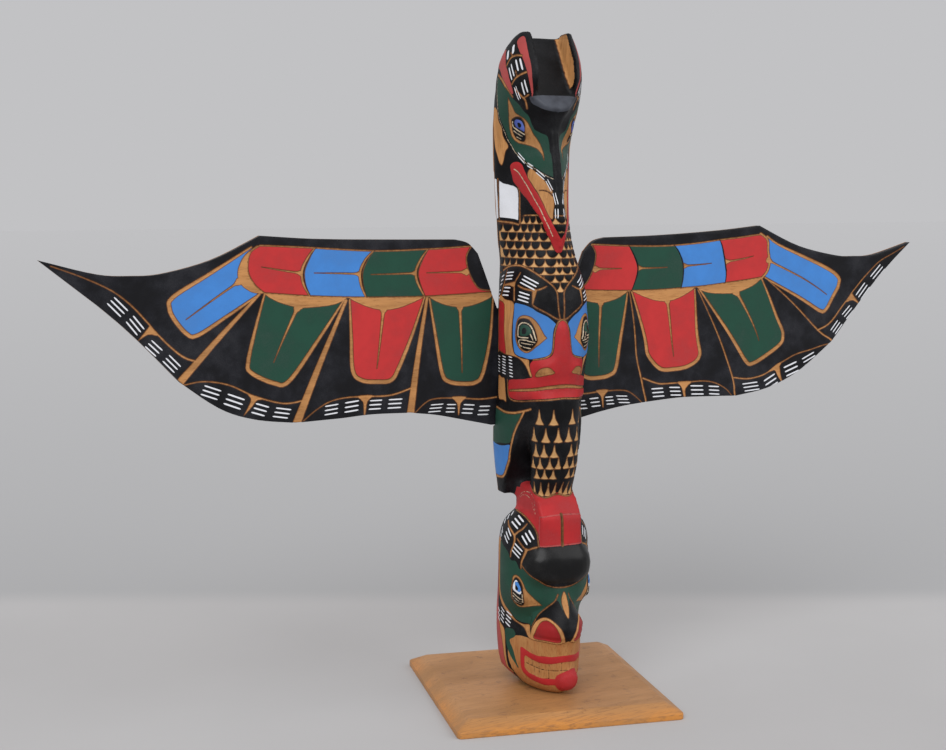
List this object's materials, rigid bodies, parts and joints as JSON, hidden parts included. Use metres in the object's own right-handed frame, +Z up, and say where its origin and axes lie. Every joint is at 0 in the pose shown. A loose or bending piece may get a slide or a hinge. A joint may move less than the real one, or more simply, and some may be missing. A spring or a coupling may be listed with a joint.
{
  "type": "totem pole",
  "caption": "Carved and painted wooden totem pole of stacked bird and mask figures with outspread wings let into its back, standing on a bare board.",
  "frame": {"origin": "on the underside of the base board, straight below the middle of the pole", "axes": "+X along the wings, the carved faces look along -Y, +Z up"},
  "size_m": [1.274, 0.3578, 0.893],
  "materials": {
    "bare_board": "bare planed softwood board with a wide chamfer",
    "carved_pole": "carved wood, hand painted black, green, red, blue and white, with bare tan carved lines",
    "carved_wings": "carved wood, hand painted black with red, green and blue feathers and bare tan carved lines"
  },
  "bodies": {
    "root": {"base_board": "bare_board", "pole": "carved_pole", "wing_left": "carved_wings", "wing_right": "carved_wings"}
  },
  "joints": []
}
